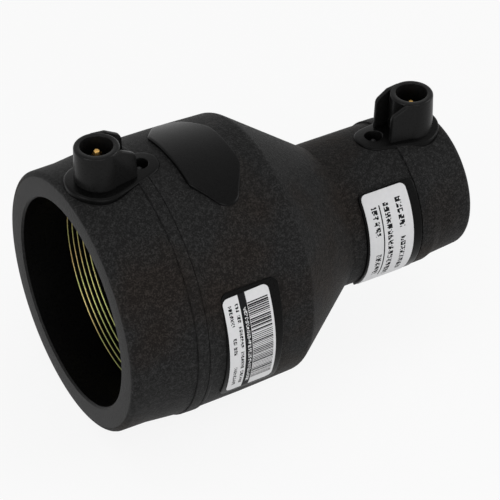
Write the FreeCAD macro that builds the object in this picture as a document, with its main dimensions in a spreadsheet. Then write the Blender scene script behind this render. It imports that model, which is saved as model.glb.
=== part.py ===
"""Electrofusion reducer: a black polyethylene pipe fitting that joins a 63 mm pipe to a 32 mm pipe.

Frame: the origin is the centre of the large mouth. +X runs along the bore to the small mouth, +Z points
out of the terminal shrouds, and the two labels are on the -Y side. Millimetres.
"""
import FreeCAD
import Part
import math
import os

import Sketcher
from FreeCAD import Placement, Rotation, Vector

doc = FreeCAD.newDocument("electrofusion_reducer")

# Driving sizes

SIZES = [
    # pipe sockets
    ("large_socket", 63.6, "bore of the socket for 63 mm pipe"),
    ("small_socket", 32.6, "bore of the socket for 32 mm pipe"),
    ("large_socket_depth", 50.0, "mouth to pipe stop"),
    ("small_socket_depth", 36.0, "mouth to pipe stop"),
    ("large_waterway", 51.0, "clear bore behind the large pipe stop"),
    ("small_waterway", 26.0, "clear bore behind the small pipe stop"),
    # outside of the moulding
    ("overall_length", 125.0, "mouth to mouth"),
    ("large_wall", 7.8, "wall of the large barrel at its mouth"),
    ("straight_length", 9.5, "straight stretch behind the large mouth"),
    ("split_place", 19.4, "mould split ring, from the large mouth"),
    ("split_rise", 1.05, "outside before the split ring, above the mouth"),
    ("band_rise", 1.65, "raised band behind the split, above the mouth"),
    ("band_width", 4.6, "width of that band"),
    ("barrel_rise", 1.25, "large barrel behind the band, above the mouth"),
    ("shoulder_place", 57.8, "end of the large barrel"),
    ("shoulder_rise", 0.5, "outside at the shoulder, above the mouth"),
    ("neck_place", 81.8, "end of the cone"),
    ("small_wall", 6.15, "wall of the small barrel at its neck"),
    ("small_split_place", 19.1, "mould split ring, from the small mouth"),
    ("small_band_rise", 0.55, "raised band towards the small mouth, above the neck"),
    ("small_band_width", 5.1, "width of that band"),
    ("small_skirt_drop", 0.4, "outside just past the small band, below the neck"),
    ("small_mouth_drop", 1.25, "outside at the small mouth, below the neck"),
    # terminals, the same on both barrels
    ("large_terminal_place", 10.8, "large mouth to terminal axis"),
    ("small_terminal_place", 10.1, "small mouth to terminal axis"),
    ("large_terminal_height", 12.5, "rim of the shroud above the mouth's outside"),
    ("small_terminal_height", 11.95, "rim of the shroud above the neck's outside"),
    ("shroud_diameter", 13.1, "outside of the shroud"),
    ("shroud_bore", 9.4, "inside of the shroud"),
    ("shroud_depth", 12.0, "rim to shroud floor"),
    ("terminal_pin", 4.0, "contact pin diameter"),
    ("large_pin_recess", 1.7, "pin tip below the rim, large barrel"),
    ("small_pin_recess", 3.2, "pin tip below the rim, small barrel"),
    ("pin_root", 3.0, "length of the pin's root held in the floor"),
    ("pin_root_diameter", 3.0, "thinner root of the pin"),
    ("cheek_length", 9.6, "shroud axis to the ends of the cheeks"),
    ("cheek_spread", 12.9, "outside width over the cheeks at the shroud"),
    ("cheek_end_spread", 10.4, "outside width over the ends of the cheeks"),
    ("cheek_wall", 1.4, "cheek thickness"),
    ("cheek_drop", 0.4, "rim to the top of the cheeks"),
    # egg shaped foot under each terminal
    ("large_foot_radius", 9.6, "round the large barrel's shroud"),
    ("small_foot_radius", 8.6, "round the small barrel's shroud"),
    ("foot_tip_radius", 5.9, "round the fusion indicator"),
    ("large_foot_rise", 1.75, "top of the large foot above the mouth's outside"),
    ("small_foot_rise", 0.7, "top of the small foot above the neck's outside"),
    ("indicator_pitch", 12.9, "shroud axis to indicator axis"),
    ("indicator_well", 5.2, "well diameter"),
    ("indicator_depth", 4.2, "well depth"),
    ("indicator_pin", 1.9, "indicator pin diameter"),
    ("indicator_sink", 1.4, "indicator tip below the top of the foot"),
    # heating wire
    ("wire", 0.54, "heating wire thickness"),
    ("wire_pitch", 1.48, "spacing of the turns"),
    ("large_coil_place", 14.8, "large mouth to the first turn"),
    ("small_coil_place", 14.1, "small mouth to the first turn"),
    ("large_turns", 11, "turns in the large socket"),
    ("small_turns", 7, "turns in the small socket"),
    ("large_chords", 18, "straight chords in one large turn"),
    ("small_chords", 14, "straight chords in one small turn"),
    # plaque and label pads
    ("plaque_place", 41.2, "large mouth to the middle of the plaque"),
    ("plaque_width", 18.2, "along the fitting"),
    ("plaque_span", 43.4, "across the fitting, seen from above"),
    ("plaque_end_radius", 6.7, "rounding of its two ends"),
    ("plaque_rise", 1.1, "mouth side of the plaque above the barrel"),
    ("plaque_fall", 1.45, "how much lower its far side is"),
    ("large_pad_place", 28.9, "large mouth to the pad"),
    ("large_pad_width", 18.2, "pad along the fitting"),
    ("large_pad_span", 55.0, "pad round the barrel, degrees"),
    ("large_pad_turn", 92.0, "middle of the pad, degrees from the top"),
    ("large_pad_rise", 0.55, "face of the pad above the barrel"),
    ("small_pad_place", 87.0, "large mouth to the pad"),
    ("small_pad_span", 98.0, "pad round the barrel, degrees"),
    ("small_pad_turn", 92.0, "middle of the pad, degrees from the top"),
    ("small_pad_rise", 0.75, "face of the pad above the neck"),
    ("label_width", 14.8, "label along the fitting"),
    ("label_gap", 0.2, "label thickness"),
    ("label_corner", 2.0, "label corner radius"),
    ("large_label_place", 37.6, "large mouth to the middle of the label"),
    ("large_label_from", 66.2, "upper edge, degrees from the top"),
    ("large_label_to", 117.0, "lower edge, degrees from the top"),
    ("large_label_tilt", 2.6, "label set slightly askew, degrees"),
    ("small_label_place", 95.2, "large mouth to the middle of the label"),
    ("small_label_from", 44.3, "upper edge, degrees from the top"),
    ("small_label_to", 137.8, "lower edge, degrees from the top"),
    # softened edges
    ("mouth_edge", 0.9, "outer edge of both mouths"),
    ("shoulder_edge", 1.0, "flat across the shoulder of the large barrel"),
    ("fit", 0.02, "play round a pin set in the moulding"),
]

sheet = doc.addObject("Spreadsheet::Sheet", "sizes")
for line, (alias, number, note) in enumerate(SIZES, 1):
    sheet.set("A%d" % line, alias.replace("_", " "))
    sheet.set("B%d" % line, str(number))
    sheet.setAlias("B%d" % line, alias)
    sheet.set("C%d" % line, note)
doc.recompute()


def size(text):
    """Spell an expression with the sheet's name before each of its aliases."""
    words = {alias for alias, number, note in SIZES}
    out = ""
    word = ""
    for letter in text + " ":
        if letter.isalnum() or letter == "_":
            word += letter
            continue
        out += ("sizes." + word if word in words else word) + letter
        word = ""
    return out.strip()


def number(text):
    """The present value of an expression."""
    return float(sheet.evalExpression(size(text)))


# Bodies, sketches and features

def new_body(name):
    body = doc.addObject("PartDesign::Body", name)
    body.Label = name
    return body


def origin_plane(body, role):
    for item in body.Origin.OriginFeatures:
        if item.Role == role:
            return item
    raise ValueError(role)


def new_sketch(body, name, role, across="0", up="0", away="0", turn="0"):
    """A sketch on one of the body's own planes, shifted and turned about its own X axis."""
    sketch = body.newObject("Sketcher::SketchObject", name)
    sketch.AttachmentSupport = [(origin_plane(body, role), "")]
    sketch.MapMode = "FlatFace"
    if turn != "0":
        sketch.AttachmentOffset = Placement(Vector(0, 0, 0), Rotation(Vector(1, 0, 0), number(turn)))
        sketch.setExpression("AttachmentOffset.Rotation.Angle", size(turn))
    for axis, text in (("x", across), ("y", up), ("z", away)):
        if text != "0":
            sketch.setExpression("AttachmentOffset.Base." + axis, size(text))
    doc.recompute()
    return sketch


def hold(sketch, edge, end, across, up):
    """Fix one point of a sketch by two bound distances from the sketch's origin."""
    for kind, text, axis in (("DistanceX", across, -2), ("DistanceY", up, -1)):
        now = number(text)
        if abs(now) < 1e-9:
            sketch.addConstraint(Sketcher.Constraint("PointOnObject", edge, end, axis))
            continue
        if now > 0:
            index = sketch.addConstraint(Sketcher.Constraint(kind, -1, 1, edge, end, now))
            sketch.setExpression("Constraints[%d]" % index, size(text))
        else:
            index = sketch.addConstraint(Sketcher.Constraint(kind, edge, end, -1, 1, -now))
            sketch.setExpression("Constraints[%d]" % index, size("-(%s)" % text))


def polygon(sketch, corners):
    """A closed straight-sided outline through corners given as pairs of expressions."""
    first = sketch.GeometryCount
    count = len(corners)
    places = [Vector(number(across), number(up), 0) for across, up in corners]
    for i in range(count):
        sketch.addGeometry(Part.LineSegment(places[i], places[(i + 1) % count]))
    for i in range(count):
        sketch.addConstraint(Sketcher.Constraint("Coincident", first + i, 2, first + (i + 1) % count, 1))
    for i, (across, up) in enumerate(corners):
        hold(sketch, first + i, 1, across, up)


def egg(sketch, middle, radius, tip, tip_radius):
    """A big circle and a small one on the sketch's X axis, joined by their common tangents."""
    big = Vector(number(middle), 0, 0)
    small = Vector(number(tip), 0, 0)
    big_r = number(radius)
    small_r = number(tip_radius)
    lean = math.acos((big_r - small_r) / (small - big).Length)
    if small.x < big.x:
        lean = math.pi - lean
    side = Vector(math.cos(lean), math.sin(lean), 0)
    low = Vector(side.x, -side.y, 0)
    z = Vector(0, 0, 1)
    if small.x > big.x:
        arcs = ((big, big_r, lean, 2 * math.pi - lean), (small, small_r, -lean, lean))
        order = ((0, 2, 1, 1), (1, 2, 0, 1))
        lines = ((big + low * big_r, small + low * small_r), (small + side * small_r, big + side * big_r))
    else:
        arcs = ((big, big_r, -lean, lean), (small, small_r, lean, 2 * math.pi - lean))
        order = ((0, 2, 1, 1), (1, 2, 0, 1))
        lines = ((big + side * big_r, small + side * small_r), (small + low * small_r, big + low * big_r))
    for centre, r, start, end in arcs:
        sketch.addGeometry(Part.ArcOfCircle(Part.Circle(centre, z, r), start, end))
    for start, end in lines:
        sketch.addGeometry(Part.LineSegment(start, end))
    for edge, (arc, arc_end, next_arc, next_end) in enumerate(order):
        sketch.addConstraint(Sketcher.Constraint("Tangent", arc, arc_end, 2 + edge, 1))
        sketch.addConstraint(Sketcher.Constraint("Tangent", 2 + edge, 2, next_arc, next_end))
    for arc, place, text in ((0, middle, radius), (1, tip, tip_radius)):
        hold(sketch, arc, 3, place, "0")
        index = sketch.addConstraint(Sketcher.Constraint("Radius", arc, number(text)))
        sketch.setExpression("Constraints[%d]" % index, size(text))


def turned(body, sketch, name, axis="H_Axis", cut=False, angle="360", both_ways=False):
    """Revolve a sketch about one of its own axes, adding or cutting."""
    kind = "PartDesign::Groove" if cut else "PartDesign::Revolution"
    before = body.Shape.Volume if body.Tip and not body.Shape.isNull() else 0.0
    feature = body.newObject(kind, name)
    feature.Profile = sketch
    feature.ReferenceAxis = (sketch, [axis])
    feature.Midplane = both_ways
    feature.setExpression("Angle", size(angle))
    sketch.Visibility = False
    doc.recompute()
    check_change(body, name, before, cut)
    return feature


def raised(body, sketch, name, length, reverse=False):
    before = body.Shape.Volume if body.Tip and not body.Shape.isNull() else 0.0
    feature = body.newObject("PartDesign::Pad", name)
    feature.Profile = sketch
    feature.Reversed = reverse
    feature.setExpression("Length", size(length))
    doc.recompute()
    check_change(body, name, before, False)
    return feature


def pocketed(body, sketch, name, length, both_ways=False, reverse=False):
    before = body.Shape.Volume
    feature = body.newObject("PartDesign::Pocket", name)
    feature.Profile = sketch
    feature.Midplane = both_ways
    feature.Reversed = reverse
    feature.setExpression("Length", size(length))
    doc.recompute()
    check_change(body, name, before, True)
    return feature


def check_change(body, name, before, cut):
    """A feature that points the wrong way changes nothing, so its effect is measured."""
    change = body.Shape.Volume - before
    if (change >= 0) if cut else (change <= 0):
        raise RuntimeError("%s in %s changes the volume by %.3f" % (name, body.Label, change))


def softened(body, name, edges, radius):
    base = body.Tip
    feature = body.newObject("PartDesign::Fillet", name)
    feature.Base = (base, edges)
    feature.setExpression("Radius", size(radius))
    doc.recompute()
    return feature


# The moulded fitting

FAR = "overall_length"
MOUTH = "(large_socket / 2 + large_wall)"
BARREL = "(large_socket / 2 + large_wall + barrel_rise)"
SHOULDER = "(large_socket / 2 + large_wall + shoulder_rise)"
NECK = "(small_socket / 2 + small_wall)"
PLAQUE_CROWN = "(large_socket / 2 + large_wall + barrel_rise + plaque_rise)"
LARGE_PAD_CROWN = "(large_socket / 2 + large_wall + barrel_rise + large_pad_rise)"
SMALL_PAD_CROWN = "(small_socket / 2 + small_wall + small_pad_rise)"
SMALL_SPLIT = "(overall_length - small_split_place)"
LARGE_RECESS = "((large_socket / 2 + 0.03) / cos(180 deg / large_chords) + wire + 0.05)"
SMALL_RECESS = "((small_socket / 2 + 0.03) / cos(180 deg / small_chords) + wire + 0.05)"
LARGE_COIL_END = "(large_coil_place + large_turns * wire_pitch)"
SMALL_COIL_START = "(overall_length - small_coil_place)"
SMALL_COIL_END = "(%s - small_turns * wire_pitch)" % SMALL_COIL_START
TERMINALS = {
    "large": ("large_terminal_place", MOUTH, 1),
    "small": ("(overall_length - small_terminal_place)", NECK, -1),
}


def terminal(which):
    """Place, rim height, foot crown and direction towards the fitting's middle of one terminal."""
    place, wall, way = TERMINALS[which]
    rim = "(%s + %s_terminal_height)" % (wall, which)
    crown = "(%s + %s_foot_rise)" % (wall, which)
    return place, rim, crown, way


def wall_profile():
    """Half section of the fitting: the outside from mouth to mouth, then back along the bore."""
    lean = "(%s - %s) / (neck_place - shoulder_place)" % (SHOULDER, NECK)
    outside = [
        ("0", MOUTH + " - mouth_edge"),
        ("mouth_edge", MOUTH),
        ("straight_length", MOUTH),
        ("split_place", MOUTH + " + split_rise"),
        ("split_place", MOUTH + " + band_rise"),
        ("split_place + band_width", MOUTH + " + band_rise"),
        ("split_place + band_width + 0.6", BARREL),
        ("shoulder_place - shoulder_edge", SHOULDER),
        ("shoulder_place + shoulder_edge", SHOULDER + " - shoulder_edge * " + lean),
        ("neck_place", NECK),
        (SMALL_SPLIT, NECK),
        (SMALL_SPLIT, NECK + " + small_band_rise"),
        (SMALL_SPLIT + " + small_band_width", NECK + " + small_band_rise"),
        (SMALL_SPLIT + " + small_band_width + 0.6", NECK + " - small_skirt_drop"),
        (FAR + " - mouth_edge", NECK + " - small_mouth_drop"),
        (FAR, NECK + " - small_mouth_drop - mouth_edge"),
    ]
    inside = [
        (FAR, "small_socket / 2"),
        (SMALL_COIL_START + " + wire", "small_socket / 2"),
        (SMALL_COIL_START + " + wire", SMALL_RECESS),
        (SMALL_COIL_END + " - wire", SMALL_RECESS),
        (SMALL_COIL_END + " - wire", "small_socket / 2"),
        (FAR + " - small_socket_depth", "small_socket / 2"),
        (FAR + " - small_socket_depth", "small_waterway / 2"),
        ("large_socket_depth", "large_waterway / 2"),
        ("large_socket_depth", "large_socket / 2"),
        (LARGE_COIL_END + " + wire", "large_socket / 2"),
        (LARGE_COIL_END + " + wire", LARGE_RECESS),
        ("large_coil_place - wire", LARGE_RECESS),
        ("large_coil_place - wire", "large_socket / 2"),
        ("0", "large_socket / 2"),
    ]
    return outside + inside


def trimmed(body, name, start, end, crown, end_crown):
    """Turn off whatever stands above a crown between two places along the fitting."""
    sketch = new_sketch(body, name + "_outline", "XZ_Plane")
    beyond = crown + " * 1.4"
    polygon(sketch, [(start, crown), (end, end_crown), (end, beyond), (start, beyond)])
    turned(body, sketch, name, cut=True)


def add_plaque(body):
    """Oval plaque moulded on top of the large barrel, its mouth side standing highest."""
    base = "(large_socket / 2 + large_wall / 5)"
    sketch = new_sketch(body, "plaque_outline", "XY_Plane", "plaque_place", "0", base)
    reach = "(plaque_span / 2 - plaque_end_radius)"
    side_radius = "((plaque_width^2 / 4 + %s^2 - plaque_end_radius^2)" % reach
    side_radius += " / (plaque_width - 2 * plaque_end_radius))"
    end_r = number("plaque_end_radius")
    side_r = number(side_radius)
    up = number(reach)
    inset = side_r - number("plaque_width / 2")
    lean = math.atan2(up, inset)
    z = Vector(0, 0, 1)
    arcs = (
        (Vector(-inset, 0, 0), side_r, -lean, lean),
        (Vector(0, up, 0), end_r, lean, math.pi - lean),
        (Vector(inset, 0, 0), side_r, math.pi - lean, math.pi + lean),
        (Vector(0, -up, 0), end_r, math.pi + lean, 2 * math.pi - lean),
    )
    for centre, radius, start, end in arcs:
        sketch.addGeometry(Part.ArcOfCircle(Part.Circle(centre, z, radius), start, end))
    for i in range(4):
        sketch.addConstraint(Sketcher.Constraint("Tangent", i, 2, (i + 1) % 4, 1))
    hold(sketch, 1, 3, "0", reach)
    hold(sketch, 3, 3, "0", "-" + reach)
    for i, text in ((0, side_radius), (1, "plaque_end_radius"), (2, side_radius), (3, "plaque_end_radius")):
        index = sketch.addConstraint(Sketcher.Constraint("Radius", i, number(text)))
        sketch.setExpression("Constraints[%d]" % index, size(text))
    raised(body, sketch, "plaque", PLAQUE_CROWN + " + 0.4 - " + base)
    start = "(plaque_place - plaque_width / 2)"
    end = "(plaque_place + plaque_width / 2)"
    far_side = PLAQUE_CROWN + " - plaque_fall"
    trimmed(body, "plaque_crown", start + " - 1", end + " + 1", PLAQUE_CROWN, far_side)


def add_terminal(body, which):
    """Egg shaped foot, two cheeks and the shroud tube, then their hollows."""
    place, rim, crown, way = terminal(which)
    tip = "(%s + %d * indicator_pitch)" % (place, way)
    under = "(%s - 5)" % crown
    foot = which + "_foot_radius"

    sketch = new_sketch(body, which + "_foot_outline", "XY_Plane", "0", "0", under)
    egg(sketch, place, foot, tip, "foot_tip_radius")
    raised(body, sketch, which + "_foot", "8")
    ends = ["(%s - %d * (%s + 2))" % (place, way, foot), "(%s + %d * (foot_tip_radius + 2))" % (tip, way)]
    if way < 0:
        ends.reverse()
    trimmed(body, which + "_foot_crown", ends[0], ends[1], crown, crown)

    sketch = new_sketch(body, which + "_cheek_outline", "XY_Plane", place, "0", under)
    for side in (1, -1):
        polygon(sketch, [
            ("%d * 1" % way, "%d * cheek_spread / 2" % side),
            ("%d * cheek_length" % way, "%d * cheek_end_spread / 2" % side),
            ("%d * cheek_length" % way, "%d * (cheek_end_spread / 2 - cheek_wall)" % side),
            ("%d * 1" % way, "%d * (cheek_spread / 2 - cheek_wall)" % side),
        ])
    raised(body, sketch, which + "_cheeks", "%s - cheek_drop - %s" % (rim, under))

    sketch = new_sketch(body, which + "_cheek_slope_outline", "XZ_Plane", place)
    polygon(sketch, [
        ("%d * 5" % way, rim + " - cheek_drop"),
        ("%d * (cheek_length - 0.8)" % way, rim + " - cheek_drop - 2.3"),
        ("%d * (cheek_length + 0.2)" % way, rim + " - cheek_drop - 4"),
        ("%d * (cheek_length + 2)" % way, rim + " - cheek_drop - 4"),
        ("%d * (cheek_length + 2)" % way, rim + " + 2"),
        ("%d * 5" % way, rim + " + 2"),
    ])
    pocketed(body, sketch, which + "_cheek_slope", "40", both_ways=True)

    sketch = new_sketch(body, which + "_shroud_outline", "XZ_Plane", place)
    polygon(sketch, [
        ("0", under),
        ("shroud_diameter / 2", under),
        ("shroud_diameter / 2", rim + " - 0.4"),
        ("shroud_diameter / 2 - 0.4", rim),
        ("0", rim),
    ])
    turned(body, sketch, which + "_shroud", "V_Axis")

    sketch = new_sketch(body, which + "_shroud_bore_outline", "XZ_Plane", place)
    floor = "(%s - shroud_depth)" % rim
    polygon(sketch, [
        ("0", rim + " + 1"),
        ("shroud_bore / 2", rim + " + 1"),
        ("shroud_bore / 2", floor),
        ("pin_root_diameter / 2 + fit", floor),
        ("pin_root_diameter / 2 + fit", floor + " - pin_root"),
        ("0", floor + " - pin_root"),
    ])
    turned(body, sketch, which + "_shroud_bore", "V_Axis", cut=True)

    sketch = new_sketch(body, which + "_well_outline", "XZ_Plane", tip)
    floor = "(%s - indicator_depth)" % crown
    polygon(sketch, [
        ("0", crown + " + 1"),
        ("indicator_well / 2", crown + " + 1"),
        ("indicator_well / 2", floor),
        ("indicator_pin / 2 + fit", floor),
        ("indicator_pin / 2 + fit", floor + " - 1"),
        ("0", floor + " - 1"),
    ])
    turned(body, sketch, which + "_well", "V_Axis", cut=True)


def add_pad(body, name, start, end, crown, low):
    """Raised pad for a label on the -Y side."""
    sketch = new_sketch(body, name + "_outline", "XZ_Plane", turn=name + "_turn")
    polygon(sketch, [(start, low), (end, low), (end, crown), (start, crown)])
    turned(body, sketch, name, angle=name + "_span", both_ways=True)


def make_fitting():
    body = new_body("fitting_body")
    sketch = new_sketch(body, "wall_section", "XZ_Plane")
    polygon(sketch, wall_profile())
    turned(body, sketch, "wall")

    add_plaque(body)
    for which in ("large", "small"):
        add_terminal(body, which)

    add_pad(body, "large_pad", "large_pad_place", "large_pad_place + large_pad_width",
            LARGE_PAD_CROWN, BARREL + " - large_wall / 3")
    add_pad(body, "small_pad", "small_pad_place", SMALL_SPLIT,
            SMALL_PAD_CROWN, NECK + " - small_wall / 3")

    return body


# Heating wire

def winding(bore, start, way, turns, chords):
    """Square wire wound as straight chords: its inner flats lie on the bore, its corners in the recess."""
    half = math.pi / chords
    inner = (bore / 2 + 0.03) / math.cos(half)
    outer = inner + number("wire")
    width = number("wire") / 2
    pitch = number("wire_pitch")
    sections = []
    for step in range(turns * chords + 1):
        turn = step * 2 * half
        x = start + way * pitch * step / chords
        corners = [(x - width, inner), (x + width, inner), (x + width, outer), (x - width, outer)]
        points = [Vector(px, -r * math.sin(turn), r * math.cos(turn)) for px, r in corners]
        sections.append(Part.makePolygon(points + points[:1]))
    return Part.makeLoft(sections, True, True)


def make_coil(which, start, way):
    name = which + "_heating_coil"
    coil = doc.addObject("Part::Feature", name)
    coil.Label = name
    turns = int(number(which + "_turns"))
    chords = int(number(which + "_chords"))
    coil.Shape = winding(number(which + "_socket"), number(start), way, turns, chords)
    coil.Placement = Placement()
    return coil


# Pins

def make_terminal_pin(which):
    """Brass contact pin with a tapered tip; its thinner root is held in the shroud's floor."""
    place, rim, crown, way = terminal(which)
    body = new_body(which + "_terminal_pin")
    sketch = new_sketch(body, which + "_terminal_pin_outline", "XZ_Plane", place)
    foot = "(%s - shroud_depth - pin_root)" % rim
    tip = "(%s - %s_pin_recess)" % (rim, which)
    polygon(sketch, [
        ("0", foot),
        ("pin_root_diameter / 2", foot),
        ("pin_root_diameter / 2", foot + " + pin_root + 0.3"),
        ("terminal_pin / 2", foot + " + pin_root + 0.3"),
        ("terminal_pin / 2", tip + " - 1"),
        ("terminal_pin / 2 - 0.9", tip),
        ("0", tip),
    ])
    turned(body, sketch, which + "_terminal_pin_turning", "V_Axis")
    return body


def make_indicator_pin(which):
    """Fusion indicator: a small plastic pin in its well, flush or a little sunk until welding."""
    place, rim, crown, way = terminal(which)
    body = new_body(which + "_indicator_pin")
    sketch = new_sketch(body, which + "_indicator_pin_outline", "XZ_Plane",
                        "%s + %d * indicator_pitch" % (place, way))
    foot = "(%s - indicator_depth - 1)" % crown
    tip = "(%s - indicator_sink)" % crown
    polygon(sketch, [
        ("0", foot),
        ("indicator_pin / 2", foot),
        ("indicator_pin / 2", tip + " - 0.4"),
        ("indicator_pin / 2 - 0.4", tip),
        ("0", tip),
    ])
    turned(body, sketch, which + "_indicator_pin_turning", "V_Axis")
    return body


# Labels

def make_label(name, which, crown, tilt):
    """Paper sheet cut as a rounded rectangle seen from the side, and bent to its pad."""
    body = new_body(name)
    place = which + "_label_place"
    low = "(%s * cos(%s_label_to * 1 deg))" % (crown, which)
    high = "(%s * cos(%s_label_from * 1 deg))" % (crown, which)
    sketch = new_sketch(body, name + "_outline", "XZ_Plane", place, "(%s + %s) / 2" % (low, high))
    sketch.AttachmentOffset = Placement(
        sketch.AttachmentOffset.Base, Rotation(Vector(0, 0, 1), number(tilt)))
    sketch.setExpression("AttachmentOffset.Rotation.Angle", size(tilt) + " * 1 deg")
    wide = "label_width / 2"
    tall = "(%s - %s) / 2" % (high, low)
    polygon(sketch, [("-" + wide, "-" + tall), (wide, "-" + tall), (wide, tall), ("-" + wide, tall)])
    raised(body, sketch, name + "_blank", crown + " + 6")
    corners = []
    for i, edge in enumerate(body.Shape.Edges, 1):
        if isinstance(edge.Curve, Part.Line) and abs(edge.Curve.Direction.y) > 0.99:
            corners.append("Edge%d" % i)
    softened(body, name + "_corners", corners, "label_corner")
    start = "%s - label_width" % place
    end = "%s + label_width" % place
    inner = new_sketch(body, name + "_inner_outline", "XZ_Plane")
    polygon(inner, [(start, "0"), (end, "0"), (end, crown), (start, crown)])
    turned(body, inner, name + "_inner", cut=True)
    outer = new_sketch(body, name + "_outer_outline", "XZ_Plane")
    face = crown + " + label_gap"
    polygon(outer, [(start, face), (end, face), (end, crown + " + 20"), (start, crown + " + 20")])
    turned(body, outer, name + "_outer", cut=True)
    return body


pieces = [make_fitting()]
pieces.append(make_coil("large", "large_coil_place", 1))
pieces.append(make_coil("small", SMALL_COIL_START, -1))
for which in ("large", "small"):
    pieces.append(make_terminal_pin(which))
    pieces.append(make_indicator_pin(which))
pieces.append(make_label("barcode_label", "large", LARGE_PAD_CROWN, "large_label_tilt"))
pieces.append(make_label("data_label", "small", SMALL_PAD_CROWN, "0"))
doc.recompute()

# Check and write

for item in doc.Objects:
    if any(flag in item.State for flag in ("Invalid", "Error")):
        raise RuntimeError("%s did not recompute: %s" % (item.Label, item.State))
os.makedirs("parts", exist_ok=True)
for piece in pieces:
    shape = piece.Shape
    if shape.isNull() or not shape.isValid() or len(shape.Solids) != 1:
        raise RuntimeError("%s is not one valid solid (%d)" % (piece.Label, len(shape.Solids)))
    shape.exportStep("parts/%s.step" % piece.Label)
    box = shape.BoundBox
    print("%-20s volume %10.2f  x %.2f..%.2f  y %.2f..%.2f  z %.2f..%.2f" % (
        piece.Label, shape.Volume, box.XMin, box.XMax, box.YMin, box.YMax, box.ZMin, box.ZMax))
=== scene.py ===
import math

import bmesh
import bpy
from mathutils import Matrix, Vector


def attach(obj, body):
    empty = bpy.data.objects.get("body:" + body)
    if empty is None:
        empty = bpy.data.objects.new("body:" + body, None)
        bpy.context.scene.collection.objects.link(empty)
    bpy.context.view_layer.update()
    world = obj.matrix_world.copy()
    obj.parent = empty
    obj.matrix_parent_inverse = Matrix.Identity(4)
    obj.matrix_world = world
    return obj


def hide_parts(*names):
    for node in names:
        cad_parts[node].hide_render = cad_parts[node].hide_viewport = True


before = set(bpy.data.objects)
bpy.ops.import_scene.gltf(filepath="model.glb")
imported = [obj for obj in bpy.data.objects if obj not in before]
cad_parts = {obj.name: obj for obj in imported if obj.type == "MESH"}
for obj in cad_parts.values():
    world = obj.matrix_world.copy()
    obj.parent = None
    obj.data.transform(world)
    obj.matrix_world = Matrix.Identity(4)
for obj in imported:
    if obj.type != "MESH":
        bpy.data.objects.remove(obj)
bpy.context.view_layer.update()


# Moulded body
# One injection moulding in black polyethylene: a large barrel, a cone and a small barrel with one bore
# through them. The wall is turned here from its half section, with the mould's split rings and the
# recesses that hold the heating wire. Sizes are in millimetres until a mesh is made.

millimetre = 0.001
corner_steps = 6


def rounded(corners, steps=corner_steps):
    """An outline whose corners, given as (along, out, radius), are turned into arcs."""
    points = []
    for i, (along, out, radius) in enumerate(corners):
        corner = Vector((along, out))
        if radius == 0:
            points.append(corner)
            continue
        before = (Vector(corners[i - 1][:2]) - corner).normalized()
        after = (Vector(corners[(i + 1) % len(corners)][:2]) - corner).normalized()
        half = before.angle(after) / 2
        centre = corner + (before + after).normalized() * radius / math.sin(half)
        start = corner + before * radius / math.tan(half) - centre
        end = corner + after * radius / math.tan(half) - centre
        for step in range(steps + 1):
            points.append(centre + start.lerp(end, step / steps).normalized() * radius)
    return points


def added(name, data):
    """A new object in the scene that shows the data."""
    made = bpy.data.objects.new(name, data)
    bpy.context.scene.collection.objects.link(made)
    return made


def piece_from(name, points, faces, materials, slots, places=None):
    """A mesh object from points in millimetres; places, if given, are its points on a flat map."""
    mesh = bpy.data.meshes.new(name)
    mesh.from_pydata([Vector(p) * millimetre for p in points], [], faces)
    for material in materials:
        mesh.materials.append(material)
    mesh.polygons.foreach_set("material_index", slots)
    if places:
        flat = mesh.uv_layers.new(name="flat")
        for loop in mesh.loops:
            flat.data[loop.index].uv = places[loop.vertex_index]
    build = bmesh.new()
    build.from_mesh(mesh)
    bmesh.ops.remove_doubles(build, verts=build.verts, dist=1e-7)
    bmesh.ops.recalc_face_normals(build, faces=build.faces)
    build.to_mesh(mesh)
    build.free()
    mesh.shade_smooth()
    return added(name, mesh)


def turned(name, outline, sides, materials, place=None, slot_of=lambda i: 0):
    """Turn a closed outline round the bore, or round an upright axis at a place along the bore.

    The outline's points are (along, out) for the bore and (out, height) for an upright axis."""
    points = []
    faces = []
    slots = []
    count = len(outline)
    for side in range(sides):
        angle = 2 * math.pi * side / sides
        for a, b in outline:
            if place is None:
                points.append((a, b * math.sin(angle), b * math.cos(angle)))
            else:
                points.append((place + a * math.cos(angle), a * math.sin(angle), b))
    for side in range(sides):
        here = side * count
        there = (side + 1) % sides * count
        for i in range(count):
            j = (i + 1) % count
            faces.append((here + i, here + j, there + j, there + i))
            slots.append(slot_of(i))
    return piece_from(name, points, faces, materials, slots)


black = bpy.data.materials.new("black_polyethylene")
black_smooth = bpy.data.materials.new("black_polyethylene_smooth")
black_polished_painted_shade = bpy.data.materials.new("black_polyethylene_polished_painted_shade")
black_faced = bpy.data.materials.new("black_polyethylene_faced")
body_materials = (black, black_smooth, black_polished_painted_shade, black_faced)
grained, smooth, polished_painted_shade, faced = range(len(body_materials))

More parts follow.
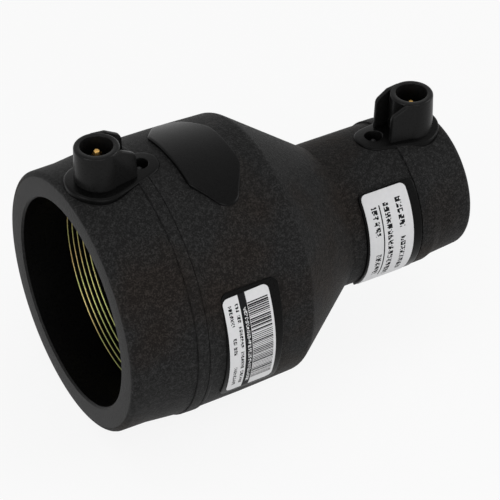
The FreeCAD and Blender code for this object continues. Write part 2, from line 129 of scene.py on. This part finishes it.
wall_corners = [
    (0, 39.55, 1.5),
    (9.0, 39.68, 8),
    (19.72, 40.76, 0.12),
    (19.8, 40.6, 0),
    (19.92, 40.6, 0),
    (20.0, 41.12, 0.2),
    (23.28, 41.24, 0.05),
    (23.34, 40.98, 0),
    (23.52, 40.98, 0),
    (23.58, 41.24, 0.05),
    (24.3, 41.25, 0.3),
    (25.1, 40.88, 0.5),
    (39.0, 40.76, 0),
    (47.2, 40.53, 0),
    (57.8, 40.16, 3.2),
    (81.75, 22.47, 0.9),
    (105.72, 22.47, 0.08),
    (105.78, 22.28, 0),
    (105.92, 22.28, 0),
    (105.98, 22.98, 0.2),
    (110.4, 22.9, 2.0),
    (113.2, 22.05, 3.0),
    (125, 21.2, 2.4),
]
bore_corners = [
    (125, 16.75, 0.2),
    (124.5, 16.3, 0.2),
    (111.5, 16.3, 0.05),
    (111.4, 16.48, 0.05),
    (100.1, 16.48, 0.05),
    (100.0, 16.3, 0.05),
    (89.0, 16.3, 0.3),
    (89.0, 13.0, 0.6),
    (86.0, 13.0, 3),
    (53.0, 25.5, 2),
    (50.0, 25.5, 0.8),
    (50.0, 31.8, 0.4),
    (31.7, 31.8, 0.05),
    (31.6, 32.02, 0.05),
    (14.2, 32.02, 0.05),
    (14.1, 31.8, 0.05),
    (0.55, 31.8, 0.3),
    (0, 32.35, 0.25),
]
wall_outline = rounded(wall_corners + bore_corners)
points_per_corner = corner_steps + 1
outside_count = len(rounded(wall_corners + bore_corners[:1])) - points_per_corner


def wall_finish(i):
    """Faced at the large mouth and the lip of the small bore, grained outside and polished inside, with
    painted shade in the polished finish's darker colour.
    """
    if i == outside_count or i > len(wall_outline) - 2 * points_per_corner:
        return faced
    return grained if i < outside_count else polished_painted_shade


wall = turned("moulded_body", wall_outline, 320, body_materials, slot_of=wall_finish)


# Raised forms on the moulding
# The egg shaped feet under the terminals, the oval plaque on top and the two label pads are part of the
# same moulding. Each stands on the barrel with a short wall and a rounded upper edge.

# The feet and the plaque start from a flat root inside the wall, which steps name by this level.
root_level = -4.5


def rungs_across(outline, inset, count=44):
    """A convex outline, drawn in, as points in pairs: up its right side, then down its left side."""
    drawn = []
    for i, point in enumerate(outline):
        along = (outline[(i + 1) % len(outline)] - outline[i - 1]).normalized()
        drawn.append(point + Vector((-along.y, along.x)) * inset)
    low = min(point.y for point in drawn)
    high = max(point.y for point in drawn)
    margin = 1e-5
    right = []
    left = []
    for step in range(count + 1):
        level = (low + high) / 2 - (high - low) / 2 * math.cos(math.pi * step / count)
        level = min(max(level, low + margin), high - margin)
        crossings = []
        for i, end in enumerate(drawn):
            begin = drawn[i - 1]
            if (begin.y - level) * (end.y - level) <= 0 and begin.y != end.y:
                crossings.append(begin.x + (end.x - begin.x) * (level - begin.y) / (end.y - begin.y))
        right.append((max(crossings), level))
        left.append((min(crossings), level))
    return right + left[::-1]


def raised_form(name, outline, steps, lay, materials=body_materials, slot=polished_painted_shade, flat=None):
    """A closed form over an outline: steps are (inset, level) from its hidden root up to its crown."""
    points = []
    places = []
    for inset, level in steps:
        for u, v in rungs_across(outline, inset):
            points.append(lay(u, v, level))
            if flat:
                places.append((0.5 + u / flat[0], 0.5 - v / flat[1]))
    count = len(points) // len(steps)
    faces = []
    for low in range(0, len(points) - count, count):
        for i in range(count):
            j = (i + 1) % count
            faces.append((low + i, low + j, low + count + j, low + count + i))
    for loop in (0, len(points) - count):
        for i in range(count // 2 - 1):
            faces.append((loop + i, loop + i + 1, loop + count - 2 - i, loop + count - 1 - i))
    return piece_from(name, points, faces, materials, [slot] * len(faces), places)


def soft_edge(radius, steps=5):
    """Insets and levels of a rounded upper edge, and one more loop that keeps the crown smooth."""
    edge = []
    for step in range(steps + 1):
        angle = math.pi / 2 * step / steps
        edge.append((radius * (1 - math.cos(angle)), -radius * (1 - math.sin(angle))))
    crown_border = 0.35
    return edge + [(radius + crown_border, 0)]


def egg_outline(root, tip, steps=40):
    """Two arcs and their common tangents, with the larger arc round the origin."""
    lean = math.acos((root - tip) / indicator_pitch)
    ends = ((indicator_pitch, tip, -lean, lean), (0, root, lean, 2 * math.pi - lean))
    return [Vector((centre + radius * math.cos(low + (high - low) * i / steps),
                    radius * math.sin(low + (high - low) * i / steps)))
            for centre, radius, low, high in ends for i in range(steps + 1)]


def rectangle_outline(width, height, corner):
    """A rectangle round the origin with rounded corners."""
    w = width / 2
    h = height / 2
    return rounded([(-w, -h, corner), (w, -h, corner), (w, h, corner), (-w, h, corner)], 10)


def on_top(place, way, crown):
    """Lay a form out from above, so that its crown follows a cylinder round the bore."""
    def lay(u, v, level):
        height = crown + level if level == root_level else math.sqrt((crown + level) ** 2 - v ** 2)
        return (place + way * u, v, height)
    return lay


def on_side(place, middle, crown, tilt=0):
    """Wrap a form round the bore; middle is the angle of its centre from the top."""
    lean = math.radians(tilt)

    def lay(u, v, level):
        across = u * math.cos(lean) - v * math.sin(lean)
        along = v * math.cos(lean) + u * math.sin(lean)
        angle = math.radians(middle) - along / crown
        out = crown + level
        return (place + across, -out * math.sin(angle), out * math.cos(angle))
    return lay


# Place along the bore, way to the fitting's middle, rim of the shroud, crown, radius and edge of the foot,
# and how far the contact pin ends below the rim.
terminals = {
    "large": {"place": 10.8, "way": 1, "rim": 52.1, "crown": 41.35, "foot": 9.65, "edge": 0.65, "sunk": 1.5},
    "small": {"place": 114.9, "way": -1, "rim": 34.4, "crown": 23.15, "foot": 8.65, "edge": 0.6, "sunk": 3.1},
}
foot_tip = 5.9
indicator_pitch = 12.9
forms = []
for which, t in terminals.items():
    foot_steps = [(-0.05, root_level), (-0.05, -1.3)] + soft_edge(t["edge"])
    foot_lay = on_top(t["place"], t["way"], t["crown"])
    forms.append(raised_form(which + "_foot", egg_outline(t["foot"], foot_tip), foot_steps, foot_lay))


plaque_start = 32.1
plaque_length = 18.2
plaque_crown = 41.95
plaque_fall = 1.45
plaque_root = 33.2


def on_plaque(u, v, level):
    """The plaque's face falls from the mouth side towards the cone."""
    if level == root_level:
        return (u, v, plaque_root)
    crown = plaque_crown - plaque_fall * (u - plaque_start) / plaque_length
    return (u, v, math.sqrt((crown + level) ** 2 - v ** 2))


plaque_outline = rounded(
    [(32.35, -13.4, 2.5), (38.8, -22.0, 4.2), (43.8, -21.8, 4.2), (50.9, -10.5, 9), (51.0, 8, 14),
     (46.0, 20.2, 5), (38.6, 20.4, 4.5), (32.35, 11.5, 2.5)], 10)
plaque_steps = [(-0.02, root_level), (-0.02, -1.6)] + soft_edge(0.55)
forms.append(raised_form("plaque", plaque_outline, plaque_steps, on_plaque))

large_pad_crown = 41.38
small_pad_crown = 23.2
pad_edge = [(0, -0.3)] + soft_edge(0.25, 3)
forms.append(raised_form("large_pad", rectangle_outline(18.2, 39.7, 2.2), [(0, -3)] + pad_edge,
                         on_side(38.0, 92, large_pad_crown)))
forms.append(raised_form("small_pad", rectangle_outline(19.0, 39.6, 2.0), [(0, -2.5)] + pad_edge,
                         on_side(96.1, 92, small_pad_crown)))


# Terminal shrouds
# A round tube stands over each contact pin, with two cheeks that run from it towards the middle of the
# fitting. They are one with the body, and the pin's well and the indicator's well are cored in the mould.

shroud_depth = 12
well_depth = 4.2
buried = 3
off_axis = 0.01
rear_rise = 0.75


def cheek(name, place, way, side, rim, crown):
    """Upright plate with a sloped top, running off the tube; the rear one stands a little higher."""
    rise = rear_rise if side > 0 else 0
    root = crown - buried
    top = rim - 0.4 + rise / 2
    outline = [(1, root), (10.2, root), (9.65, rim - 3.9 + rise), (9.3, rim - 3.0 + rise),
               (8.8, rim - 2.55 + rise), (5.2, top), (1, top)]
    half_spread = 6.5
    narrowing = 0.14
    thickness = 1.45
    points = []
    for depth in (0, thickness):
        for u, z in outline:
            points.append((place + way * u, side * (half_spread - narrowing * u - depth), z))
    count = len(outline)
    faces = [tuple(range(count)), tuple(range(2 * count - 1, count - 1, -1))]
    for i in range(count):
        j = (i + 1) % count
        faces.append((i, j, count + j, count + i))
    piece = piece_from(name, points, faces, body_materials, [smooth] * len(faces))
    bevel = piece.modifiers.new("soft_edges", "BEVEL")
    bevel.width = 0.45 * millimetre
    bevel.segments = 3
    bevel.limit_method = "ANGLE"
    bevel.angle_limit = math.radians(15)
    return piece


def core_section(floor, top, lip):
    """Half section of a hole: its floor, and a flared lip given as (radius, height over the top)."""
    section = [(off_axis, floor, 0), (lip[0][0], floor, 0.3)]
    section += [(radius, top + over, 0) for radius, over in lip]
    return rounded(section + [(lip[-1][0], top + 1, 0), (off_axis, top + 1, 0)])


def all_smooth(i):
    """One finish on every face."""
    return smooth


shroud_lip = ((4.66, -0.35), (4.76, -0.12), (5.1, 0.03))
well_lip = ((2.62, -0.35), (2.72, -0.14), (2.95, 0.01))
cores = []
for which, t in terminals.items():
    place, way, rim, crown = t["place"], t["way"], t["rim"], t["crown"]
    root = crown - buried
    tube = rounded([(off_axis, root, 0), (6.85, root, 0), (6.5, rim, 0.75), (off_axis, rim, 0)])
    forms.append(turned(which + "_tube", tube, 96, body_materials, place, all_smooth))
    for side in (1, -1):
        forms.append(cheek(which + "_cheek", place, way, side, rim, crown))
    core = core_section(rim - shroud_depth, rim, shroud_lip)
    cores.append(turned(which + "_core", core, 96, body_materials, place, all_smooth))
    well = core_section(crown - well_depth, crown, well_lip)
    beside = place + way * indicator_pitch
    cores.append(turned(which + "_well_core", well, 64, body_materials, beside, all_smooth))


def applied(piece):
    """A mesh of the piece with its modifiers worked in."""
    return bpy.data.meshes.new_from_object(piece.evaluated_get(bpy.context.evaluated_depsgraph_get()))


def combined(base, others, operation):
    """Join other forms to a piece, or take them away, and drop them."""
    for other in others:
        change = base.modifiers.new(other.name, "BOOLEAN")
        change.operation = operation
        change.solver = "EXACT"
        change.object = other
    shaped = applied(base)
    base.modifiers.clear()
    base.data = shaped
    for other in others:
        bpy.data.objects.remove(other)


combined(wall, forms, "UNION")
combined(wall, cores, "DIFFERENCE")
wall.data.name = "moulded_body"
wall.data.shade_smooth()
wall.data.set_sharp_from_angle(angle=math.radians(28))


# Polyethylene finish
# The mould is spark eroded where it forms the barrels, so these carry a fine matte grain that catches the
# light in specks, partly by painted highlight in the base colour. The shrouds are smooth, and the feet,
# plaque, pads and bore are smoother still, with a darker base colour that is painted shade. The large
# mouth is trimmed flat, with a faint grain.

node_settings = ("operation", "data_type", "blend_type", "noise_dimensions", "uv_map")


def new_group(name, inputs, outputs):
    """An empty node group, what comes into it and what it gives out."""
    group = bpy.data.node_groups.new(name, "ShaderNodeTree")
    for label in inputs:
        group.interface.new_socket(label, in_out="INPUT", socket_type="NodeSocketFloat")
    for label in outputs:
        group.interface.new_socket(label, in_out="OUTPUT", socket_type="NodeSocketFloat")
    return group, group.nodes.new("NodeGroupInput").outputs, group.nodes.new("NodeGroupOutput").inputs


def feed(tree, socket, value):
    """Link a socket to another one, or set it to a plain value."""
    if isinstance(value, bpy.types.NodeSocket):
        tree.links.new(value, socket)
    else:
        socket.default_value = value


def node(tree, kind, *ordered, **named):
    """A new node, with its first inputs in order and its settings and other inputs by name."""
    made = tree.nodes.new(kind)
    for key in node_settings:
        if key in named:
            setattr(made, key, named.pop(key))
    for key, value in [*enumerate(ordered), *named.items()]:
        feed(tree, made.inputs[key], value)
    return made


def sums(tree, operation, a, b=0.0):
    """One arithmetic step between sockets or numbers."""
    return node(tree, "ShaderNodeMath", a, b, operation=operation).outputs[0]


def ranged(tree, value, low, high, first=0.0, last=1.0):
    """A value between low and high, as one between first and last."""
    return node(tree, "ShaderNodeMapRange", value, low, high, first, last).outputs[0]


def blend(tree, factor, first, second, blend_type="MIX"):
    """A mix of two colours, each of them a socket or three numbers."""
    mix = node(tree, "ShaderNodeMix", factor, data_type="RGBA", blend_type=blend_type)
    for socket, colour in ((mix.inputs[6], first), (mix.inputs[7], second)):
        feed(tree, socket, (*colour, 1) if isinstance(colour, tuple) else colour)
    return mix.outputs[2]


def own_place(tree):
    """Coordinates in the frame, in metres."""
    return tree.nodes.new("ShaderNodeTexCoord").outputs["Object"]


def noise(tree, where, scale, detail, roughness=0.5):
    """Cloudy noise, finer with a larger scale."""
    made = node(tree, "ShaderNodeTexNoise", Vector=where, Scale=scale, Detail=detail, Roughness=roughness)
    return made.outputs["Fac"]


grain, given, out = new_group("moulded_grain", ("Grain Size", "Depth"), ("Tone", "Height", "Warmth"))
where = own_place(grain)
fine = noise(grain, where, sums(grain, "DIVIDE", 2200.0, given["Grain Size"]), 2.0, 0.6)
coarse = noise(grain, where, sums(grain, "DIVIDE", 850.0, given["Grain Size"]), 3.0, 0.55)
mixed = sums(grain, "ADD", sums(grain, "MULTIPLY", fine, 0.6), sums(grain, "MULTIPLY", coarse, 0.4))
feed(grain, out["Tone"], mixed)
feed(grain, out["Height"], sums(grain, "MULTIPLY", mixed, given["Depth"]))
feed(grain, out["Warmth"], noise(grain, where, 38.0, 2.0))


def polyethylene(material, dark, light, warm, size, depth, roughness, shine):
    """Black plastic whose tone and height follow the grain, a little browner in places; the lighter flecks in
    its tone are partly painted highlight.
    """
    material.use_nodes = True
    tree = material.node_tree
    shader = tree.nodes["Principled BSDF"]
    texture = tree.nodes.new("ShaderNodeGroup")
    texture.node_tree = grain
    texture.inputs["Grain Size"].default_value = size
    texture.inputs["Depth"].default_value = depth
    tone = texture.outputs["Tone"]
    # Base colour flecks: partly the grain's own tone, partly painted highlight where the bumps would catch
    # the light.
    grain_tone_and_painted_specks = blend(tree, ranged(tree, tone, 0.46, 0.70), (dark, dark, dark), (light, light, light))
    patches = ranged(tree, texture.outputs["Warmth"], 0.45, 0.65)
    feed(tree, shader.inputs["Base Color"], blend(tree, patches, grain_tone_and_painted_specks, warm, "MULTIPLY"))
    height = texture.outputs["Height"]
    bump = node(tree, "ShaderNodeBump", Height=height, Strength=1.0, Distance=0.1 * millimetre)
    feed(tree, shader.inputs["Normal"], bump.outputs[0])
    spread = 0.06
    gloss = ranged(tree, tone, 0.3, 0.7, roughness - spread, roughness + spread)
    feed(tree, shader.inputs["Roughness"], gloss)
    shader.inputs["Specular IOR Level"].default_value = shine


polyethylene(black, dark=0.0115, light=0.0420, warm=(1.0, 0.85, 0.76),
             size=1.0, depth=4.5, roughness=0.52, shine=0.03)
polyethylene(black_smooth, dark=0.006, light=0.009, warm=(1.0, 0.96, 0.93),
             size=0.8, depth=0.3, roughness=0.30, shine=0.10)
# The polished finish is the shrouds' plastic with a darker base colour, which is painted shade on the feet,
# plaque, pads and bore.
polyethylene(black_polished_painted_shade, dark=0.002, light=0.004, warm=(1.0, 0.97, 0.95),
             size=0.8, depth=0.2, roughness=0.30, shine=0.07)
polyethylene(black_faced, dark=0.005, light=0.019, warm=(1.0, 0.97, 0.95),
             size=1.0, depth=1.8, roughness=0.44, shine=0.08)
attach(wall, "root")
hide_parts("fitting_body")


# Heating coils
# Bare resistance wire, wound while the socket is moulded, so that its turns lie half sunk in the floor of
# a shallow recess. The large coil shows in the mouth as fine yellow lines, and the small one is hidden.

wire_pitch = 1.48
wire_radius = 0.25
steps_per_turn = 120
wire_sides = 8


def winding_tree():
    """A round wire along a helix: the turns, radius, length and wire size are inputs."""
    tree = bpy.data.node_groups.new("wound_wire", "GeometryNodeTree")
    for label in ("Turns", "Radius", "Length", "Wire Radius"):
        tree.interface.new_socket(label, in_out="INPUT", socket_type="NodeSocketFloat")
    tree.interface.new_socket("Steps Per Turn", in_out="INPUT", socket_type="NodeSocketInt")
    tree.interface.new_socket("Finish", in_out="INPUT", socket_type="NodeSocketMaterial")
    tree.interface.new_socket("Geometry", in_out="OUTPUT", socket_type="NodeSocketGeometry")
    first = tree.nodes.new("NodeGroupInput")
    last = tree.nodes.new("NodeGroupOutput")
    helix = tree.nodes.new("GeometryNodeCurveSpiral")
    section = tree.nodes.new("GeometryNodeCurvePrimitiveCircle")
    section.inputs["Resolution"].default_value = wire_sides
    sweep = tree.nodes.new("GeometryNodeCurveToMesh")
    sweep.inputs["Fill Caps"].default_value = True
    realize = tree.nodes.new("GeometryNodeRealizeInstances")
    paint = tree.nodes.new("GeometryNodeSetMaterial")
    link = tree.links.new
    link(first.outputs["Turns"], helix.inputs["Rotations"])
    link(first.outputs["Radius"], helix.inputs["Start Radius"])
    link(first.outputs["Radius"], helix.inputs["End Radius"])
    link(first.outputs["Length"], helix.inputs["Height"])
    link(first.outputs["Steps Per Turn"], helix.inputs["Resolution"])
    link(first.outputs["Wire Radius"], section.inputs["Radius"])
    link(helix.outputs[0], sweep.inputs["Curve"])
    link(section.outputs[0], sweep.inputs["Profile Curve"])
    link(sweep.outputs[0], realize.inputs[0])
    link(realize.outputs[0], paint.inputs["Geometry"])
    link(first.outputs["Finish"], paint.inputs["Material"])
    link(paint.outputs[0], last.inputs[0])
    return tree


def new_material(name):
    """A material, its node tree and its main shader."""
    material = bpy.data.materials.new(name)
    material.use_nodes = True
    return material, material.node_tree, material.node_tree.nodes["Principled BSDF"]


heating_wire, tree, shader = new_material("heating_wire")
shader.inputs["Metallic"].default_value = 1.0
where = own_place(tree)
drift = ranged(tree, noise(tree, where, 90.0, 2.0), 0.5, 0.68)
feed(tree, shader.inputs["Base Color"], blend(tree, drift, (0.38, 0.41, 0.15), (0.50, 0.37, 0.16)))
drawn = noise(tree, where, 700.0, 2.0)
feed(tree, shader.inputs["Roughness"], ranged(tree, drawn, 0.0, 1.0, 0.28, 0.44))

winding = winding_tree()
for name, radius, start_x, way, turns in (
        ("large_coil_wire", 32.14, 14.8, 1, 11), ("small_coil_wire", 16.60, 110.9, -1, 7)):
    holder = added(name, bpy.data.meshes.new(name))
    modifier = holder.modifiers.new("winding", "NODES")
    modifier.node_group = winding
    values = {"Turns": float(turns), "Radius": radius * millimetre,
              "Length": turns * wire_pitch * millimetre, "Wire Radius": wire_radius * millimetre,
              "Steps Per Turn": steps_per_turn, "Finish": heating_wire}
    for item in winding.interface.items_tree:
        if item.item_type == "SOCKET" and item.in_out == "INPUT":
            modifier[item.identifier] = values[item.name]
    coil_mesh = applied(holder)
    holder.modifiers.clear()
    holder.data = coil_mesh
    for vertex in coil_mesh.vertices:
        x, y, z = vertex.co
        vertex.co = (start_x * millimetre + way * z, -way * y, x)
    coil_mesh.shade_smooth()
    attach(holder, "root")
    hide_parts("large_heating_coil" if way > 0 else "small_heating_coil")


# Contact pins
# Turned brass pins, four millimetres thick with a domed tip, that the welding lead's sockets push onto.
# Each stands on the floor of its shroud, on a slightly narrower neck.

terminal_brass, tree, shader = new_material("terminal_brass")
shader.inputs["Metallic"].default_value = 1.0
where = own_place(tree)
stretch = node(tree, "ShaderNodeMapping", Vector=where, Scale=(1.0, 1.0, 12.0)).outputs[0]
turning = noise(tree, stretch, 500.0, 3.0)
feed(tree, shader.inputs["Roughness"], ranged(tree, turning, 0.0, 1.0, 0.20, 0.36))
tarnish = ranged(tree, noise(tree, where, 300.0, 2.0), 0.4, 0.7)
feed(tree, shader.inputs["Base Color"], blend(tree, tarnish, (0.52, 0.32, 0.10), (0.42, 0.24, 0.07)))

for which, t in terminals.items():
    seat = t["rim"] - shroud_depth
    tip = t["rim"] - t["sunk"]
    outline = rounded([
        (off_axis / 2, seat - 0.2, 0), (1.5, seat - 0.2, 0), (1.5, seat + 0.3, 0), (2.0, seat + 0.3, 0.1),
        (2.0, tip - 2.6, 1.2), (0.75, tip, 0.65), (off_axis / 2, tip, 0)], 8)
    pin = turned(which + "_contact_pin", outline, 48, (terminal_brass,), t["place"])
    pin.data.set_sharp_from_angle(angle=math.radians(35))
    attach(pin, "root")
    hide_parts(which + "_terminal_pin")


# Fusion indicators
# A small plastic pin in the well beside each shroud. Melt pushes it up when the joint is welded; before
# that its domed end lies below the foot's surface.

indicator_plastic, tree, shader = new_material("indicator_plastic")
specks = noise(tree, own_place(tree), 1500.0, 2.0)
feed(tree, shader.inputs["Roughness"], ranged(tree, specks, 0.0, 1.0, 0.34, 0.48))
feed(tree, shader.inputs["Base Color"], blend(tree, specks, (0.018, 0.018, 0.019), (0.030, 0.030, 0.031)))
shader.inputs["Specular IOR Level"].default_value = 0.15

indicator_radius = 0.95
indicator_sunk = 1.45
for which, t in terminals.items():
    base = t["crown"] - well_depth - 0.2
    tip = t["crown"] - indicator_sunk
    outline = rounded([(off_axis / 2, base, 0), (indicator_radius, base, 0), (indicator_radius, tip, 0.85),
                       (off_axis / 2, tip, 0)], 8)
    beside = t["place"] + t["way"] * indicator_pitch
    pin = turned(which + "_indicator", outline, 40, (indicator_plastic,), beside)
    pin.data.set_sharp_from_angle(angle=math.radians(35))
    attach(pin, "root")
    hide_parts(which + "_indicator_pin")


# Labels
# White coated paper stickers with black thermal print, set on the two pads. The large one carries a bar
# code with a black strip beside it; the small one carries three lines and a rule. The print is plain marks.

def within(tree, value, low, high):
    """1 between two edges and 0 outside them."""
    above = sums(tree, "GREATER_THAN", value, low)
    return sums(tree, "MULTIPLY", above, sums(tree, "LESS_THAN", value, high))


line_inputs = ("Across", "Along", "Low", "High", "Start", "End", "Mark", "Rows", "Fill", "Seed")
letter_columns = 5.0
inked_columns = 3.5


def printed_group():
    """Rows of small marks that stand for a line of print, between two edges across and two along."""
    group, given, out = new_group("printed_line", line_inputs, ("Mask",))
    column = sums(group, "FLOOR", sums(group, "DIVIDE", given["Along"], given["Mark"]))
    height = sums(group, "SUBTRACT", given["High"], given["Low"])
    rise = sums(group, "DIVIDE", sums(group, "SUBTRACT", given["Across"], given["Low"]), height)
    row = sums(group, "FLOOR", sums(group, "MULTIPLY", rise, given["Rows"]))
    spot = node(group, "ShaderNodeCombineXYZ", X=column, Y=row, Z=given["Seed"])
    chance = node(group, "ShaderNodeTexWhiteNoise", noise_dimensions="3D", Vector=spot.outputs[0])
    filled = sums(group, "LESS_THAN", chance.outputs["Value"], given["Fill"])
    letter = sums(group, "LESS_THAN", sums(group, "FLOORED_MODULO", column, letter_columns), inked_columns)
    area = sums(group, "MULTIPLY", within(group, given["Across"], given["Low"], given["High"]),
                within(group, given["Along"], given["Start"], given["End"]))
    feed(group, out["Mask"], sums(group, "MULTIPLY", sums(group, "MULTIPLY", filled, letter), area))
    return group


printed_line = printed_group()
thinnest_bar = 0.22
bar_spread = 0.7


def label_material(name, size, prints, strips, bars):
    """Paper with lines of marks, plain strips and a band of bars, all placed in millimetres."""
    material, tree, shader = new_material(name)
    flat = node(tree, "ShaderNodeUVMap", uv_map="flat")
    split = node(tree, "ShaderNodeSeparateXYZ", Vector=flat.outputs[0])
    across = sums(tree, "MULTIPLY", split.outputs["X"], size[0])
    along = sums(tree, "MULTIPLY", split.outputs["Y"], size[1])

    def area(low, high, first, last):
        return sums(tree, "MULTIPLY", within(tree, across, low, high), within(tree, along, first, last))

    def line(*values):
        made = tree.nodes.new("ShaderNodeGroup")
        made.node_tree = printed_line
        for label, value in zip(line_inputs, (across, along, *values)):
            feed(tree, made.inputs[label], value)
        return made.outputs[0]

    ink = 0.0
    for edges, cut_out in strips:
        strip = area(*edges)
        if cut_out:
            strip = sums(tree, "MULTIPLY", strip, sums(tree, "SUBTRACT", 1.0, line(*cut_out)))
        ink = sums(tree, "MAXIMUM", ink, strip)
    for values in prints:
        ink = sums(tree, "MAXIMUM", ink, line(*values))
    for low, high, first, last, period in bars:
        place = sums(tree, "DIVIDE", along, period)
        chance = node(tree, "ShaderNodeTexWhiteNoise", noise_dimensions="1D", W=sums(tree, "FLOOR", place))
        thick = sums(tree, "ADD", sums(tree, "MULTIPLY", chance.outputs["Value"], bar_spread), thinnest_bar)
        black_bar = sums(tree, "LESS_THAN", sums(tree, "FRACT", place), thick)
        ink = sums(tree, "MAXIMUM", ink, sums(tree, "MULTIPLY", black_bar, area(low, high, first, last)))
    fibre = noise(tree, own_place(tree), 900.0, 3.0)
    paper = blend(tree, fibre, (0.62, 0.62, 0.635), (0.70, 0.70, 0.705))
    feed(tree, shader.inputs["Base Color"], blend(tree, ink, paper, (0.010, 0.010, 0.011)))
    feed(tree, shader.inputs["Specular IOR Level"], ranged(tree, ink, 0.0, 1.0, 0.35, 0.05))
    feed(tree, shader.inputs["Roughness"], ranged(tree, fibre, 0.0, 1.0, 0.42, 0.56))
    bump = node(tree, "ShaderNodeBump", Height=fibre, Strength=0.15, Distance=0.02 * millimetre)
    feed(tree, shader.inputs["Normal"], bump.outputs[0])
    return material


# A line of print is its lower and upper edge, its start and end, the size of a mark, the rows of marks,
# the share that is inked and a seed.
small_marks = (0.215, 4, 0.72)
upper_words = ((2.4, 4.9), (6.0, 8.4), (9.7, 17.4), (18.6, 25.6), (26.6, 33.0))
lower_words = ((2.4, 9.0), (13.0, 15.2), (16.0, 19.0), (24.3, 33.0))
barcode_size = (14.8, 36.4)
barcode_print = label_material(
    "barcode_label_paper", barcode_size,
    prints=[(3.5, 4.5, *word, *small_marks, 1 + i) for i, word in enumerate(upper_words)]
    + [(1.3, 2.4, *word, *small_marks, 6 + i) for i, word in enumerate(lower_words)],
    strips=[((5.0, 7.3, 0, 36.4), (5.85, 6.85, 4.0, 33.6, 0.215, 4, 0.5, 10))],
    bars=[(7.4, 14.0, 3.2, 33.0, 0.66)])
large_marks = (0.36, 5, 0.7)
data_size = (15.2, 37.6)
data_print = label_material(
    "data_label_paper", data_size,
    prints=[(2.1, 3.95, 4.5, 13.5, *large_marks, 11), (2.2, 4.05, 20.2, 29.3, *large_marks, 12),
            (6.25, 8.05, 4.05, 31.5, *large_marks, 13),
            (10.5, 12.4, 3.6, 12.9, *large_marks, 15), (10.6, 12.3, 16.0, 31.0, *large_marks, 16)],
    strips=[((4.74, 5.14, 4.3, 31.0), None)], bars=[])

label_corner = 1.8
sheet_edge = [(0, 0.01), (0, 0.1), (0.05, 0.14), (0.4, 0.14)]
for name, size, lay, paper in (
        ("barcode_label", barcode_size, on_side(37.1, 91.6, large_pad_crown, 2.6), barcode_print),
        ("data_label", data_size, on_side(94.9, 91.0, small_pad_crown), data_print)):
    label = raised_form(name + "_sheet", rectangle_outline(*size, label_corner), sheet_edge, lay,
                        (paper,), 0, size)
    label.data.set_sharp_from_angle(angle=math.radians(40))
    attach(label, "root")
    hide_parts(name)


# Floor, light and camera
# The fitting lies on a plain white floor under soft boxes, seen as in the photograph. Places are in metres.

def sees_background(tree):
    """1 for a ray from the camera, or one that is mirrored or passes through something clear."""
    ray = tree.nodes.new("ShaderNodeLightPath").outputs
    indirect = sums(tree, "MAXIMUM", ray["Is Glossy Ray"], ray["Is Transmission Ray"])
    return sums(tree, "MAXIMUM", ray["Is Camera Ray"], indirect)


floor_material, tree, shader = new_material("studio_floor")
shader.inputs["Base Color"].default_value = (0.86, 0.86, 0.86, 1)
shader.inputs["Roughness"].default_value = 0.9
shader.inputs["Specular IOR Level"].default_value = 0.1
glow = node(tree, "ShaderNodeEmission", Color=(1, 1, 1, 1), Strength=1.0)
whitening = 0.88
veil = node(tree, "ShaderNodeMixShader", sums(tree, "MULTIPLY", sees_background(tree), whitening),
            shader.outputs[0], glow.outputs[0])
feed(tree, tree.nodes["Material Output"].inputs["Surface"], veil.outputs[0])
floor_mesh = bpy.data.meshes.new("floor")
low = -0.0413
reach = 3
corners = [(-reach, -reach, low), (reach, -reach, low), (reach, reach, low), (-reach, reach, low)]
floor_mesh.from_pydata(corners, [], [(0, 1, 2, 3)])
floor_mesh.materials.append(floor_material)
floor = added("floor", floor_mesh)

world = bpy.data.worlds.new("studio")
bpy.context.scene.world = world
world.use_nodes = True
tree = world.node_tree
background = tree.nodes["Background"]
background.inputs["Color"].default_value = (1, 1, 1, 1)
feed(tree, background.inputs["Strength"], ranged(tree, sees_background(tree), 0.0, 1.0, 0.4, 1.0))


def soft_box(name, place, size, power):
    """A square lamp aimed at the fitting's middle."""
    data = bpy.data.lights.new(name, "AREA")
    data.size = size
    data.energy = power
    lamp = added(name, data)
    lamp.location = place
    lamp.rotation_euler = (Vector((0.06, 0, 0)) - Vector(place)).to_track_quat("-Z", "Y").to_euler()


soft_box("left_box", (-0.85, -0.3, 0.3), 0.5, 3.1)
soft_box("top_box", (0.1, 0.1, 1.1), 0.7, 1.3)
soft_box("right_box", (0.9, -0.35, 0.4), 0.5, 3.2)
soft_box("front_box", (-0.2, -1.0, 0.12), 0.6, 3.2)

camera_data = bpy.data.cameras.new("camera")
camera_data.sensor_width = 36
camera_data.lens = 176.07
camera = added("camera", camera_data)
camera.location = (-0.22305, -0.4975, 0.4488)
camera.rotation_euler = Vector((0.3875, 0.6819, -0.6204)).to_track_quat("-Z", "Y").to_euler()
bpy.context.scene.camera = camera
bpy.context.scene.view_settings.view_transform = "Standard"
